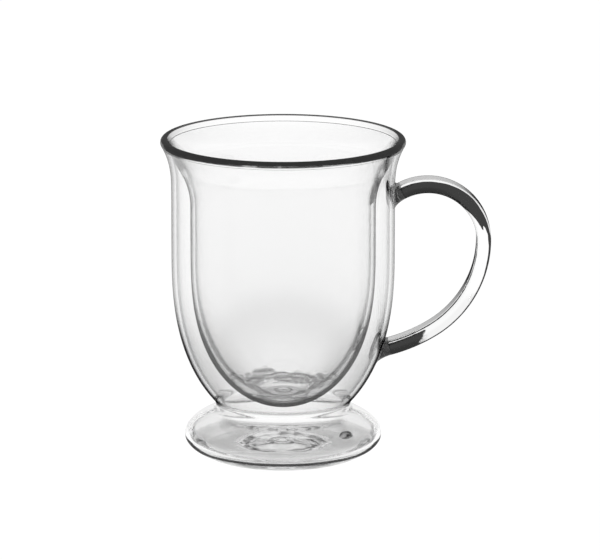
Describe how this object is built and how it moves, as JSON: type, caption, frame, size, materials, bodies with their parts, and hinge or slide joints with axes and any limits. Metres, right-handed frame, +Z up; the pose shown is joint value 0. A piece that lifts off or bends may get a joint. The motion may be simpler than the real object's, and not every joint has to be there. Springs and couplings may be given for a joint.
{
  "type": "double walled glass mug",
  "caption": "Clear double walled glass mug with a flared rim, a rounded inner bowl, a hollow pedestal foot and a flat strap handle.",
  "frame": {"origin": "on the mug's axis, in the plane of the table that the base plate stands on", "axes": "+Z up along the mug's axis, +X from the axis towards the handle, +Y towards the back of the mug as it is seen in the picture"},
  "size_m": [0.1227, 0.091, 0.12],
  "materials": {
    "body_glass": "clear, polished",
    "bowl_glass": "clear, polished",
    "rim_glass": "clear, fire polished",
    "waist_glass": "clear, fire polished",
    "foot_glass": "clear, polished",
    "base_glass": "clear, polished",
    "seal_glass": "clear, fire polished",
    "handle_glass": "clear, fire polished",
    "weld_glass": "clear, fire polished"
  },
  "bodies": {
    "root": {"outer_body": "body_glass", "inner_bowl": "bowl_glass", "rim_lip": "rim_glass", "waist_seam": "waist_glass", "foot": "foot_glass", "base_plate": "base_glass", "vent_seal": "seal_glass", "handle": "handle_glass", "upper_weld": "weld_glass", "lower_weld": "weld_glass"}
  },
  "joints": []
}
